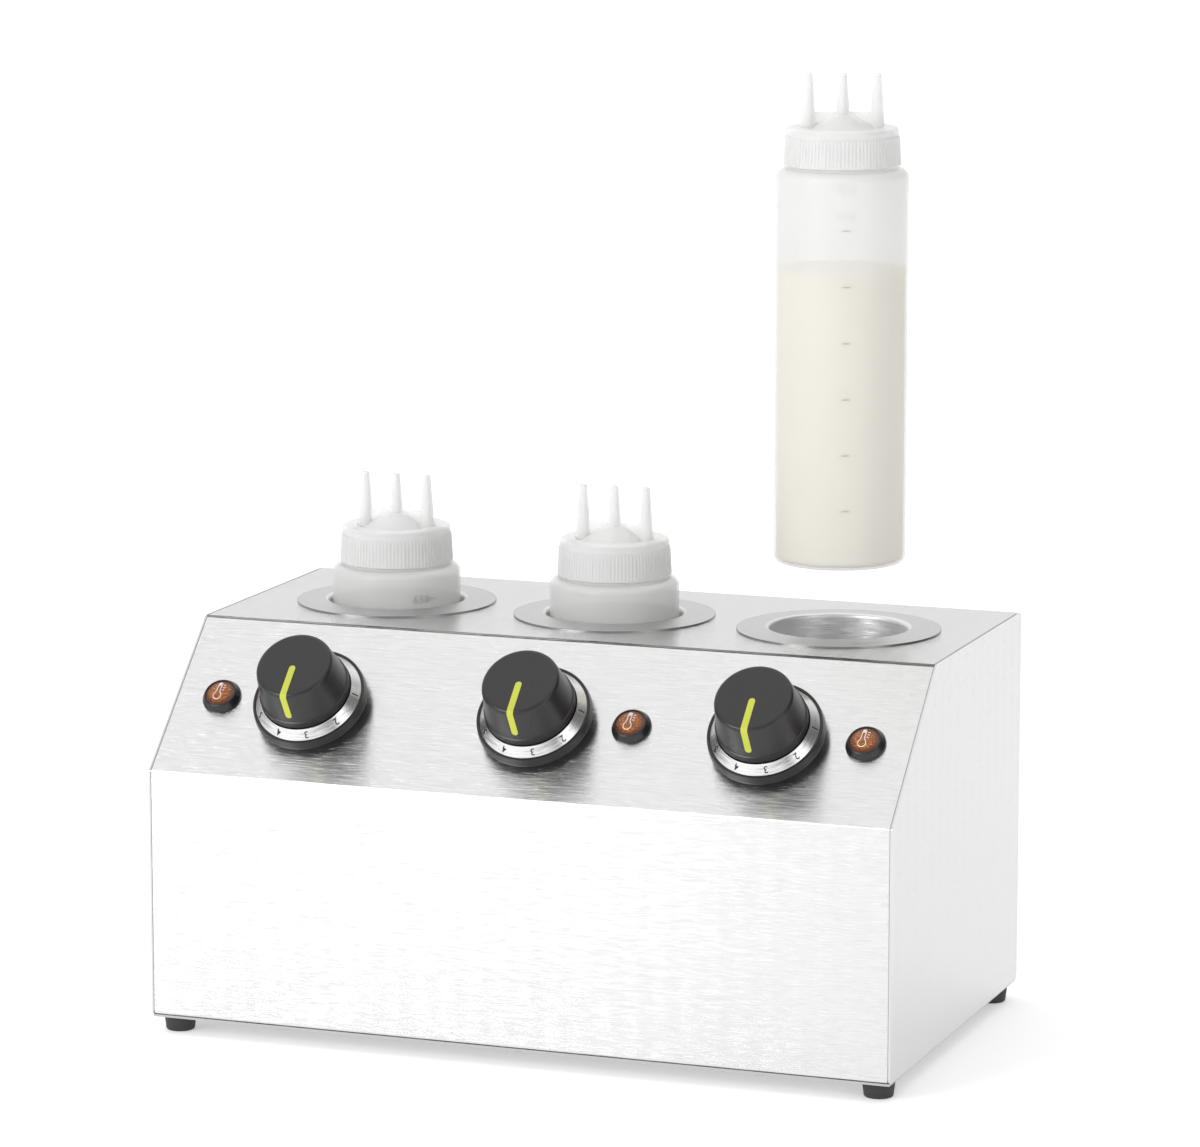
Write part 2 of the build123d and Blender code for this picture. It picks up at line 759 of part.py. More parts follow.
def make_lamp_bezel(name):
    """Domed black rim and the closed barrel behind it."""
    inner = lamp_barrel_radius - lamp_barrel_wall
    profile = section(
        (0, -lamp_barrel_length),
        (lamp_barrel_radius, -lamp_barrel_length),
        (lamp_barrel_radius, 0),
        (lamp_flange_radius, 0),
        (lamp_flange_radius, lamp_flange_edge, 1.0),
        (lamp_rim_radius, lamp_height, 1.2),
        (lamp_lens_radius + lamp_lens_gap, lamp_height),
        (lamp_lens_radius + lamp_lens_gap, lamp_lens_seat),
        (inner, lamp_lens_seat),
        (inner, lamp_barrel_wall - lamp_barrel_length),
        (0, lamp_barrel_wall - lamp_barrel_length),
    )
    return on_slope(lamp_x[name], lamp_up_slope) * turned(profile)


def make_lamp_lens(name):
    """Amber lens with a gently domed face."""
    rise = lamp_lens_crown - lamp_lens_edge
    dome_radius = (lamp_lens_radius**2 + rise**2) / (2 * rise)
    half_angle = math.asin(lamp_lens_radius / dome_radius) / 2
    dome_centre = lamp_lens_crown - dome_radius
    on_dome = (dome_radius * math.sin(half_angle), dome_centre + dome_radius * math.cos(half_angle))
    sides_and_back = Polyline(
        (0, lamp_lens_crown),
        (0, lamp_lens_seat),
        (lamp_lens_radius, lamp_lens_seat),
        (lamp_lens_radius, lamp_lens_edge),
    )
    face = ThreePointArc((lamp_lens_radius, lamp_lens_edge), on_dome, (0, lamp_lens_crown))
    return on_slope(lamp_x[name], lamp_up_slope) * turned(make_face(sides_and_back + face))


def make_lamp_clip(name):
    top = -casing_sheet
    ring = tube(lamp_barrel_radius + lap_gap, lamp_clip_radius, top - lamp_clip_thickness, top)
    return on_slope(lamp_x[name], lamp_up_slope) * ring


def make_gland():
    """Cord gland: threaded tube through the rear, hexagon outside and a domed cap."""
    inside_end = -casing_sheet - gland_thread_length
    profile = section(
        (gland_bore_radius, inside_end),
        (gland_thread_radius, inside_end),
        (gland_thread_radius, gland_hex_height),
        (gland_cap_radius, gland_hex_height),
        (gland_cap_radius, gland_length, 3.0),
        (gland_bore_radius, gland_length),
    )
    gland = turned(profile) + hexagon(gland_hex, gland_bore_radius, 0, gland_hex_height)
    return on_rear(gland_x, gland_up) * gland


def make_locknut():
    top = -casing_sheet
    nut = hexagon(gland_hex, gland_thread_radius + slip_gap, top - locknut_height, top)
    return on_rear(gland_x, gland_up) * nut


def make_terminal_block():
    """Screw terminal block on the base plate, behind the middle well."""
    width, depth, height = block_size
    body = block(block_size, 0)
    body = fillet(body.edges().filter_by(Axis.X).group_by(Axis.Z)[-1], 2.0)
    for way in range(block_ways):
        x = (way - (block_ways - 1) / 2) * block_way_pitch
        body -= Pos(x, 0, height * 0.4) * Rot(90, 0, 0) * Cylinder(block_entry_radius, 2 * depth)
        body -= Pos(x, 0, height) * Cylinder(block_screw_radius, height / 2)
    rear_edge = casing_depth - bottom_flange - block_edge_gap
    return Pos(block_x, rear_edge - depth / 2, casing_bottom) * body


def bottle_place(name):
    """A bottle's base, in its well or lifted over it."""
    turn = right_bottle_turn if name == "right" else 0.0
    return Pos(well_x(name), well_setback, bottle_seat + bottle_raised[name]) * Rot(0, 0, turn)


def make_bottle(name):
    """Blow-moulded body with a pushed-up base, rounded shoulder, collar and neck."""
    inner = bottle_radius - bottle_wall
    shoulder = bottle_body_height
    neck_top = shoulder + neck_height
    profile = section(
        (0, bottle_push_up),
        (bottle_push_up_radius, bottle_push_up, 1.0),
        (bottle_push_up_radius + bottle_push_up, 0),
        (bottle_radius, 0, bottle_base_radius),
        (bottle_radius, shoulder, bottle_shoulder_radius),
        (neck_collar_radius, shoulder),
        (neck_collar_radius, shoulder + neck_collar_height),
        (neck_radius, shoulder + neck_collar_height),
        (neck_radius, neck_top),
        (neck_bore_radius, neck_top),
        (neck_bore_radius, shoulder - bottle_wall),
        (inner, shoulder - bottle_wall, bottle_shoulder_radius - bottle_wall),
        (inner, bottle_wall, bottle_base_radius - bottle_wall),
        (bottle_push_up_radius + bottle_push_up, bottle_wall),
        (bottle_push_up_radius, bottle_push_up + bottle_wall),
        (0, bottle_push_up + bottle_wall),
    )
    return bottle_place(name) * turned(profile)


def make_sauce(name):
    """Topping in one body, down to the bottle's floor and its pushed-up middle."""
    inner = bottle_radius - bottle_wall - sauce_gap
    bottom = bottle_wall + sauce_gap
    dome = bottle_push_up_radius + sauce_gap
    corner = bottle_base_radius - bottle_wall
    profile = section(
        (0, bottle_push_up + bottom),
        (dome, bottle_push_up + bottom),
        (dome + bottle_push_up, bottom),
        (inner, bottom, corner),
        (inner, sauce_height),
        (0, sauce_height),
    )
    return bottle_place(name) * turned(profile)


def make_seal(name):
    bottom = bottle_body_height + neck_height + seal_gap
    return bottle_place(name) * tube(seal_inner_radius, neck_radius, bottom, bottom + seal_thickness)


def make_cap(name):
    """Screw cap: tapered skirt, recessed disc with a shallow dome, and three nozzles joined by a web."""
    disc = cap_height - cap_recess_depth
    dome_top = disc + cap_dome_height
    shell = turned(
        section(
            (cap_bore_radius, 0),
            (cap_radius, 0, 0.6),
            (cap_step_radius, cap_step_height),
            (cap_top_radius, cap_step_height),
            (cap_top_radius, cap_height, cap_edge_radius),
            (cap_recess_radius, cap_height, 0.6),
            (cap_recess_radius, disc),
            (cap_dome_radius, disc, 5.0),
            (cap_dome_flat, dome_top, 5.0),
            (0, dome_top),
            (0, dome_top - cap_wall),
            (cap_dome_flat, dome_top - cap_wall, 5.0),
            (cap_dome_radius, disc - cap_wall, 5.0),
            (cap_bore_radius, disc - cap_wall),
        )
    )
    tip = cap_height + nozzle_height
    cone = turned(section((0, disc), (nozzle_base_radius, disc), (nozzle_tip_radius, tip, 0.5), (0, tip)))
    bore_bottom = disc - 2 * cap_wall
    bore = turned(
        section(
            (0, bore_bottom),
            (nozzle_base_bore, bore_bottom),
            (nozzle_tip_bore, tip + 1),
            (0, tip + 1),
        )
    )
    web_bottom = disc - cap_wall / 2
    cap = shell + block((2 * nozzle_pitch, web_thickness, web_height + cap_wall / 2), web_bottom)
    for side in (-1, 0, 1):
        cap += Pos(side * nozzle_pitch, 0, 0) * cone
    for side in (-1, 0, 1):
        cap -= Pos(side * nozzle_pitch, 0, 0) * bore
    return bottle_place(name) * Pos(0, 0, bottle_body_height + cap_gap) * cap


def make_parts():
    """Every sub-part by its node's name."""
    feet = foot_places()
    parts = {
        "casing_wrap": make_casing_wrap(),
        "front_panel": make_front_panel(),
        "end_panel_left": make_end_panel(-1),
        "end_panel_right": make_end_panel(1),
        "base_plate": make_base_plate(),
        "base_screws": group([make_base_screw(x, y) for x, y in base_screw_places()]),
        "foot_screws": group([make_foot_screw(x, y) for x, y in feet.values()]),
        "foot_nuts": group([make_foot_nut(x, y) for x, y in feet.values()]),
        "cord_gland": make_gland(),
        "gland_locknut": make_locknut(),
        "terminal_block": make_terminal_block(),
        "well_clamp_rings": group([make_clamp_ring(name) for name in sides]),
        "heater_straps": group([strap for name in sides for strap in make_straps(name)]),
        "strap_bolts": group([bolt for name in sides for bolt in make_strap_bolts(name)]),
        "insulation_sleeves": group([make_insulation(name) for name in sides]),
        "sensing_bulbs": group([make_bulb(name) for name in sides]),
        "thermostat_screws": group([screw for name in sides for screw in make_thermostat_screws(name)]),
        "number_rings": group([make_number_ring(name) for name in sides]),
        "lamp_bezels": group([make_lamp_bezel(name) for name in sides]),
        "lamp_lenses": group([make_lamp_lens(name) for name in sides]),
        "lamp_clips": group([make_lamp_clip(name) for name in sides]),
    }
    for name, (x, y) in feet.items():
        parts[f"foot_{name}"] = make_foot(x, y)
    for name in sides:
        parts[f"well_{name}"] = make_well(name)
        parts[f"band_heater_{name}"] = make_heater(name)
        parts[f"thermostat_{name}"] = make_thermostat(name)
        parts[f"spindle_{name}"] = make_spindle(name)
        parts[f"dial_bezel_{name}"] = make_bezel(name)
        parts[f"knob_{name}"] = make_knob(name)
        parts[f"pointer_{name}"] = make_pointer(name)
        parts[f"bottle_{name}"] = make_bottle(name)
        parts[f"sauce_{name}"] = make_sauce(name)
        parts[f"cap_seal_{name}"] = make_seal(name)
        parts[f"bottle_cap_{name}"] = make_cap(name)
    return parts


def write_parts():
    """Moves the model so that the middle of its whole depth is Y = 0, and writes one file for each node."""
    parts = make_parts()
    boxes = [part.bounding_box() for part in parts.values()]
    front = min(box.min.Y for box in boxes)
    rear = max(box.max.Y for box in boxes)
    to_middle = Pos(0, -(front + rear) / 2, 0)
    os.makedirs("parts", exist_ok=True)
    for name, part in parts.items():
        export_step(to_middle * part, f"parts/{name}.step")
    print("nodes", len(parts), "moved in Y by", -(front + rear) / 2)


write_parts()
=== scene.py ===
import json
import math

import bmesh
import bpy
from mathutils import Matrix, Vector


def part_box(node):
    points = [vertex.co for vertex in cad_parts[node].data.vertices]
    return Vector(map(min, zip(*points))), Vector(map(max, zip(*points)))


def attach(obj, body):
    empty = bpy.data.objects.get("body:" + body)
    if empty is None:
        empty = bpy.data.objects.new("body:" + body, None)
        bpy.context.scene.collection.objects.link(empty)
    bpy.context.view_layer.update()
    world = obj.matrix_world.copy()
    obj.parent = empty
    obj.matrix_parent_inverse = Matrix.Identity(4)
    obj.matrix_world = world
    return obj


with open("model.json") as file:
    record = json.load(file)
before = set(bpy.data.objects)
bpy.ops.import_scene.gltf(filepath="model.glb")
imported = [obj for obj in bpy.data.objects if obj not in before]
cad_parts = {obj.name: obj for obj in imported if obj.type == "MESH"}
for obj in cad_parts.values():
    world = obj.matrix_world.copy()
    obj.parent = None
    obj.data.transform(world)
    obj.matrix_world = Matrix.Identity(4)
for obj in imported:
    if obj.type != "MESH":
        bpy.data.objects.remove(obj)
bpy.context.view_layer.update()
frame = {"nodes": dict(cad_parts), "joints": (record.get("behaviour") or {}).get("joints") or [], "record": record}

nodes = frame["nodes"]
record = frame["record"]
SIDES = ("left", "middle", "right")

# Sizes that the solids already have, in metres, where a dressed piece has to sit on them
RING_OUTER, RING_INNER, RING_RISE, RING_EDGE = 0.0283, 0.0241, 0.0043, 0.0092
LENS_RADIUS, LENS_CROWN, LENS_EDGE = 0.0076, 0.0053, 0.0040
BOTTLE_RADIUS, BOTTLE_FLOOR = 0.034, 0.0024
CAP_RADIUS, CAP_STEP_RADIUS, CAP_STEP = 0.0298, 0.0290, 0.0152
DECK_EDGE = (-0.04421, 0.2070)          # y and z of the cut edge where the deck meets the slope
WELL_MOUTH = (0.0366, 0.0384)           # radii between which a flange turns down into its wall
FLANGE_EDGE = (0.0524, 0.0529)          # radii of a flange's thin outer edge
LENS_RIM = (0.0046, 0.0068)             # radii between which a lens darkens
MERGE_GAP = 0.000002                    # points of a new mesh nearer than this are one

# Brushed grain: noise cells per metre along it and across it
FINE_GRAIN = (70.0, 30000.0)
BROAD_GRAIN = (7.0, 900.0)

WHITE = (1.0, 1.0, 1.0, 1.0)
NOISE_MEAN = 0.5
X_AXIS = Vector((1.0, 0.0, 0.0))
Z_AXIS = Vector((0.0, 0.0, 1.0))


# ---------------------------------------------------------------- finishes

class Wire:
    """A socket that takes part in sums; every sum adds its own Math node."""

    def __init__(self, finish, socket):
        self.finish = finish
        self.socket = socket

    def math(self, operation, first, second):
        return self.finish.node("ShaderNodeMath", {"operation": operation}, {0: first, 1: second})

    def __add__(self, other):
        return self.math("ADD", self, other)

    def __radd__(self, other):
        return self.math("ADD", other, self)

    def __sub__(self, other):
        return self.math("SUBTRACT", self, other)

    def __rsub__(self, other):
        return self.math("SUBTRACT", other, self)

    def __mul__(self, other):
        return self.math("MULTIPLY", self, other)

    def __rmul__(self, other):
        return self.math("MULTIPLY", other, self)

    def __truediv__(self, other):
        return self.math("DIVIDE", self, other)

    def __rtruediv__(self, other):
        return self.math("DIVIDE", other, self)

    def __mod__(self, other):
        return self.math("FLOORED_MODULO", self, other)

    def __gt__(self, other):
        return self.math("GREATER_THAN", self, other)

    def swing(self, amount):
        """Noise about its mean, as a change of up to half the amount either way."""
        return (self - NOISE_MEAN) * amount

    def output(self, name):
        return Wire(self.finish, self.socket.node.outputs[name])


class Finish:
    """A procedural surface finish on one Principled shader."""

    def __init__(self, name, **constants):
        self.material = bpy.data.materials.new(name)
        self.material.use_nodes = True
        self.tree = self.material.node_tree
        self.shader = self.tree.nodes["Principled BSDF"]
        for socket, value in constants.items():
            self.shader.inputs[socket.replace("_", " ")].default_value = value

    def node(self, kind, settings=None, inputs=None, output=0):
        """Adds a node: its settings first, then the values or links of its sockets."""
        node = self.tree.nodes.new(kind)
        for key, value in (settings or {}).items():
            if key == "stops":
                ramp = node.color_ramp
                while len(ramp.elements) < len(value):
                    ramp.elements.new(1.0)
                for element, (position, colour) in zip(ramp.elements, value):
                    element.position = position
                    element.color = colour
            else:
                setattr(node, key, value)
        for key, value in (inputs or {}).items():
            if isinstance(value, Wire):
                self.tree.links.new(value.socket, node.inputs[key])
            else:
                node.inputs[key].default_value = value
        return Wire(self, node.outputs[output])

    def feed(self, socket, wire):
        self.tree.links.new(wire.socket, self.shader.inputs[socket])

    def place(self, scale=(1.0, 1.0, 1.0), centre=(0.0, 0.0, 0.0)):
        """Object coordinates about a centre, stretched."""
        here = self.node("ShaderNodeTexCoord", output="Object")
        about = self.vector("SUBTRACT", here, centre)
        return self.vector("MULTIPLY", about, scale)

    def vector(self, operation, first, second=None, output="Vector"):
        inputs = {0: first}
        if operation == "SCALE":
            inputs["Scale"] = second
        elif second is not None:
            inputs[1] = second
        return self.node("ShaderNodeVectorMath", {"operation": operation}, inputs, output)

    def length(self, x, y):
        return self.vector("LENGTH", self.joined(x, y, 0.0), output="Value")

    def parts(self, vector):
        x = self.node("ShaderNodeSeparateXYZ", None, {0: vector})
        return x, x.output("Y"), x.output("Z")

    def joined(self, x, y, z):
        return self.node("ShaderNodeCombineXYZ", None, {0: x, 1: y, 2: z})

    def noise(self, vector, scale=1.0, detail=2.0, roughness=0.5):
        values = {"Vector": vector, "Scale": scale, "Detail": detail, "Roughness": roughness}
        return self.node("ShaderNodeTexNoise", None, values)

    def mix(self, factor, first, second):
        settings = {"data_type": "RGBA", "clamp_factor": True}
        factor_in, first_in, second_in, colour_out = 0, 6, 7, 2
        inputs = {factor_in: factor, first_in: first, second_in: second}
        return self.node("ShaderNodeMix", settings, inputs, colour_out)

    def steps(self, wire, low, high, to_low=0.0, to_high=1.0):
        """Smooth change from one value to another as the wire goes from low to high."""
        values = {0: wire, 1: low, 2: high, 3: to_low, 4: to_high}
        return self.node("ShaderNodeMapRange", {"interpolation_type": "SMOOTHSTEP"}, values)

    def bump(self, height, distance):
        values = {"Height": height, "Distance": distance, "Strength": 1.0}
        return self.node("ShaderNodeBump", None, values, "Normal")

    def lay(self, obj):
        obj.data.materials.clear()
        obj.data.materials.append(self.material)


def rgb(red, green, blue):
    return (red, green, blue, 1.0)


def grey(value, warm=0.0):
    return rgb(value * (1 + warm), value, value * (1 - warm))


def shade(colour, factor):
    """A colour made darker or lighter, up to full white."""
    return rgb(*(min(part * factor, 1.0) for part in colour[:3]))


def scratched(finish, grain, lines, depth):
    """Turns the surface normal across the grain, line by line."""
    normal = finish.node("ShaderNodeNewGeometry", output="Normal")
    across = finish.vector("CROSS_PRODUCT", normal, grain)
    lean = finish.vector("SCALE", across, lines.swing(depth))
    return finish.vector("NORMALIZE", finish.vector("ADD", normal, lean))


def brushed_sheet(name, grain, tone=0.745, depth=1.9, gloss=0.20, joint_shadow_at=None):
    """Bright stainless sheet brushed along one axis, darkened in a line at (y, z) where the deck meets the slope:
    dirt in the joint and painted shadow in its gap.
    """
    # The last value is the grey of the line at the deck's joint: dirt and painted shadow.
    spread, warmth, fade, joint_shadow_tone = 0.05, 0.003, 0.0001, 0.18
    finish = Finish(name, Metallic=1.0)
    fine, broad = (
        [along if on_axis else across for on_axis in grain]
        for along, across in (FINE_GRAIN, BROAD_GRAIN)
    )
    lines = finish.noise(finish.place(fine), detail=2.0, roughness=0.6)
    bands = finish.noise(finish.place(broad), detail=3.0, roughness=0.65)
    patches = finish.noise(finish.place(), scale=9.0, detail=3.0)
    finish.feed("Normal", scratched(finish, grain, lines, depth))
    tint = lines.swing(0.30) + bands.swing(0.35) + patches.swing(0.25) + NOISE_MEAN
    dark, bright = grey(tone * (1 - spread), warmth), grey(tone * (1 + spread), -warmth)
    colour = finish.mix(tint, dark, bright)
    # Dark line painted along the deck's joint with the slope: dirt in the joint and painted shadow in its gap.
    if joint_shadow_at:
        edge_y, edge_z = joint_shadow_at
        _, y, z = finish.parts(finish.place())
        front = finish.steps(y, edge_y + fade, edge_y + 4 * fade, 1.0, 0.0)
        top = finish.steps(z, edge_z - fade, edge_z)
        colour = finish.mix(front * top, colour, grey(joint_shadow_tone))
    finish.feed("Base Color", colour)
    finish.feed("Roughness", gloss + bands.swing(0.03) + patches.swing(0.04))
    return finish


def spun_steel(name, centre, tone=0.57, depth=1.6, gloss=0.34):
    """Drawn and spun stainless, with its lines round an upright axis; its wall inside is painted lighter than its
    flange, as painted light and painted shade on one steel.
    """
    finish = Finish(name, Metallic=1.0)
    x, y, z = finish.parts(finish.place(centre=(centre[0], centre[1], 0.0)))
    radius = finish.length(x, y)
    round_it = finish.vector("NORMALIZE", finish.joined(0.0 - y, x, 0.0))
    wall_spread, turn_cells = 1.7, 3.0
    fine_lines, broad_lines = 9000.0, 520.0
    sweep = radius + z * wall_spread
    fine = finish.joined(x / radius * turn_cells, y / radius * turn_cells, sweep * fine_lines)
    lines = finish.noise(fine, roughness=0.6)
    bands = finish.noise(finish.joined(x / radius, y / radius, sweep * broad_lines), detail=3.0)
    finish.feed("Normal", scratched(finish, round_it, lines, depth))
    tint = lines.swing(0.5) + bands.swing(0.9) + NOISE_MEAN
    # Flange and wall are one steel: the flange is painted darker as painted shade and the wall inside lighter as
    # painted light.
    flange = finish.mix(tint, grey(tone * 0.86), grey(tone * 1.10))
    wall = finish.mix(tint, grey(0.86), grey(0.97))
    inside = finish.steps(radius, *WELL_MOUTH, 1.0, 0.0)
    # A dark ring painted on the flange's thin outer edge: painted shadow.
    edge = finish.steps(radius, *FLANGE_EDGE) * 0.5
    finish.feed("Base Color", finish.mix(edge, finish.mix(inside, flange, wall), grey(0.16)))
    finish.feed("Roughness", gloss + inside * 0.12 + bands.swing(0.08))
    return finish


def number_ring_silver(name, centre, pitch, out):
    """Silver ring plates with fine lines round each of three dials that stand a pitch apart."""
    finish = Finish(name, Metallic=1.0)
    x, y, z = finish.parts(finish.place(centre=centre))
    near = (x + pitch * 1.5) % pitch - pitch / 2
    up = z * -out[1] + y * out[2]
    radius = finish.length(near, up)
    cosine, sine = near / radius, up / radius
    along = finish.joined(sine, cosine * -out[2], cosine * out[1])
    turn_cells, fine_lines = 2.0, 5200.0
    fine = finish.joined(cosine * turn_cells, sine * turn_cells, radius * fine_lines)
    lines = finish.noise(fine, roughness=0.6)
    finish.feed("Normal", scratched(finish, finish.vector("NORMALIZE", along), lines, depth=0.7))
    finish.feed("Base Color", finish.mix(lines, grey(0.60), grey(0.80)))
    finish.feed("Roughness", 0.18 + lines * 0.12)
    return finish


def satin_plastic(name, colour, gloss):
    """Moulded plastic with a fine spark-eroded skin."""
    finish = Finish(name)
    skin = finish.noise(finish.place(), scale=2600.0, detail=3.0, roughness=0.6)
    cloud = finish.noise(finish.place(), scale=55.0, detail=3.0)
    tint = cloud * 0.7 + skin * 0.3
    finish.feed("Base Color", finish.mix(tint, shade(colour, 0.82), shade(colour, 1.15)))
    finish.feed("Roughness", gloss + cloud.swing(0.10) + skin.swing(0.08))
    finish.feed("Normal", finish.bump(skin, 0.00002))
    return finish


def milky_plastic(name, colour, alpha, gloss, flow=0.00035):
    """Natural polyethylene: milky, slightly wavy and softly glossy."""
    finish = Finish(name, Alpha=alpha, IOR=1.5)
    wave = finish.noise(finish.place((1.0, 1.0, 0.45)), scale=42.0, detail=2.0)
    cloud = finish.noise(finish.place((1.0, 1.0, 0.3)), scale=70.0, detail=3.0)
    finish.feed("Base Color", finish.mix(cloud, shade(colour, 0.975), colour))
    finish.feed("Roughness", gloss + cloud.swing(0.05))
    finish.feed("Normal", finish.bump(wave, flow))
    return finish


def cream_sauce(name):
    """Thick cream-coloured sauce with a few darker specks."""
    finish = Finish(name, IOR=1.42)
    cloud = finish.noise(finish.place((1.0, 1.0, 0.5)), scale=38.0, detail=4.0)
    specks = finish.noise(finish.place(), scale=900.0, detail=2.0)
    body = finish.mix(cloud, rgb(0.93, 0.845, 0.60), rgb(0.97, 0.89, 0.665))
    speck_level, speck_strength = 0.68, 0.35
    speckled = finish.mix((specks > speck_level) * speck_strength, body, rgb(0.66, 0.56, 0.38))
    finish.feed("Base Color", speckled)
    finish.feed("Roughness", 0.32 + cloud * 0.15)
    finish.feed("Normal", finish.bump(cloud, 0.0006))
    return finish


def amber_lens(name, lamps, out):
    """Clear amber over a cut prism back, darker towards the rim."""
    finish = Finish(name, IOR=1.40, Coat_Weight=0.5, Coat_Roughness=0.03, Coat_IOR=1.5)
    x, y, z = finish.parts(finish.place())
    up = y * out[2] - z * out[1]
    nearest = None
    for centre in lamps:
        up_centre = centre[1] * out[2] - centre[2] * out[1]
        radius = finish.length(x - centre[0], up - up_centre)
        nearest = radius if nearest is None else nearest.math("MINIMUM", nearest, radius)
    prisms = 900.0
    cell_place = finish.joined(x * prisms, up * prisms, 0.0)
    facet = finish.node("ShaderNodeTexVoronoi", {"feature": "F1", "distance": "CHEBYCHEV"},
                        {"Vector": cell_place, "Scale": 1.0, "Randomness": 0.55})
    glow = finish.noise(cell_place, scale=1.4, detail=2.0)
    cut = finish.node("ShaderNodeValToRGB", {"stops": [
        (0.0, rgb(1.0, 0.55, 0.08)),
        (0.25, rgb(0.62, 0.22, 0.012)),
        (0.50, rgb(0.24, 0.060, 0.004)),
        (1.0, rgb(0.06, 0.012, 0.002)),
    ]}, {0: facet * 0.75 + (glow - 0.3) * 0.9})
    rim = finish.steps(nearest, *LENS_RIM)
    finish.feed("Base Color", finish.mix(rim * 0.85, cut, rgb(0.07, 0.009, 0.002)))
    finish.feed("Roughness", 0.06 + facet * 0.10)
    finish.feed("Normal", finish.bump(facet, 0.00012))
    return finish


def moulded_rubber(name, colour):
    """Matt rubber or silicone with a dusty skin."""
    finish = Finish(name, IOR=1.5)
    skin = finish.noise(finish.place(), scale=1500.0, detail=4.0, roughness=0.7)
    dust = finish.noise(finish.place(), scale=260.0, detail=3.0)
    finish.feed("Base Color", finish.mix(dust, colour, shade(colour, 1.7)))
    finish.feed("Roughness", 0.58 + dust.swing(0.22))
    finish.feed("Normal", finish.bump(skin, 0.00005))
    return finish


def rolled_steel(name, tone, gloss, warm=0.0):
    """Plain sheet and turned or plated small parts."""
    finish = Finish(name, Metallic=1.0)
    mottle = finish.noise(finish.place(), scale=90.0, detail=5.0, roughness=0.65)
    fine = finish.noise(finish.place(), scale=2400.0, detail=2.0)
    dark, bright = grey(tone * 0.82, warm), grey(tone * 1.12, warm)
    finish.feed("Base Color", finish.mix(mottle, dark, bright))
    finish.feed("Roughness", gloss + mottle.swing(0.20))
    finish.feed("Normal", finish.bump(fine, 0.000012))
    return finish


def drawn_copper(name):
    """Drawn copper with a light haze of oxide."""
    finish = Finish(name, Metallic=1.0)
    haze = finish.noise(finish.place(), scale=130.0, detail=4.0)
    finish.feed("Base Color", finish.mix(haze, rgb(0.62, 0.27, 0.15), rgb(0.84, 0.47, 0.30)))
    finish.feed("Roughness", 0.22 + haze * 0.25)
    return finish


def mineral_wool(name):
    """Matted yellowish fibre in soft clumps."""
    finish = Finish(name, Sheen_Weight=0.3)
    fibre = finish.noise(finish.place((1.0, 1.0, 3.0)), scale=700.0, detail=6.0, roughness=0.75)
    clump = finish.noise(finish.place(), scale=60.0, detail=3.0)
    finish.feed("Base Color", finish.mix(fibre, rgb(0.52, 0.47, 0.36), rgb(0.86, 0.82, 0.70)))
    finish.feed("Roughness", 0.85 + clump * 0.12)
    finish.feed("Normal", finish.bump(fibre * 0.7 + clump * 0.3, 0.0009))
    return finish


# ---------------------------------------------------------------- places on the warmer

def middle_of(values):
    return (min(values) + max(values)) / 2


def dial_centre(side):
    joint = next(j for j in frame["joints"] if j["name"] == f"knob_turn_{side}")
    return Vector(joint["pos_m"]), Vector(joint["axis"]).normalized()


def node_middle(name):
    low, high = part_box(name)
    return (low + high) / 2


OUT = dial_centre("middle")[1]
UP_SLOPE = Vector((0.0, OUT.z, -OUT.y))
DIAL_PITCH = dial_centre("right")[0].x - dial_centre("middle")[0].x
LAMP_SPACING = 0.02     # points of the lenses further apart than this along X are on two lenses


def lamp_centres():
    """Middle of each lens's back face, from left to right."""
    mesh = nodes["lamp_lenses"].data
    spots = sorted((vertex.co.x, vertex.index) for vertex in mesh.vertices)
    clusters = [[spots[0]]]
    for spot in spots[1:]:
        if spot[0] - clusters[-1][-1][0] > LAMP_SPACING:
            clusters.append([])
        clusters[-1].append(spot)
    centres = []
    for cluster in clusters:
        points = [mesh.vertices[index].co for _, index in cluster]
        x = middle_of([point.x for point in points])
        up = middle_of([point.dot(UP_SLOPE) for point in points])
        out = max(point.dot(OUT) for point in points) - LENS_CROWN
        centres.append(Vector((x, 0.0, 0.0)) + UP_SLOPE * up + OUT * out)
    return centres


LAMPS = lamp_centres()


# ---------------------------------------------------------------- finishes on the solids

BLACK = rgb(0.012, 0.012, 0.013)
ALONG_X, ALONG_Y = (1.0, 0.0, 0.0), (0.0, 1.0, 0.0)

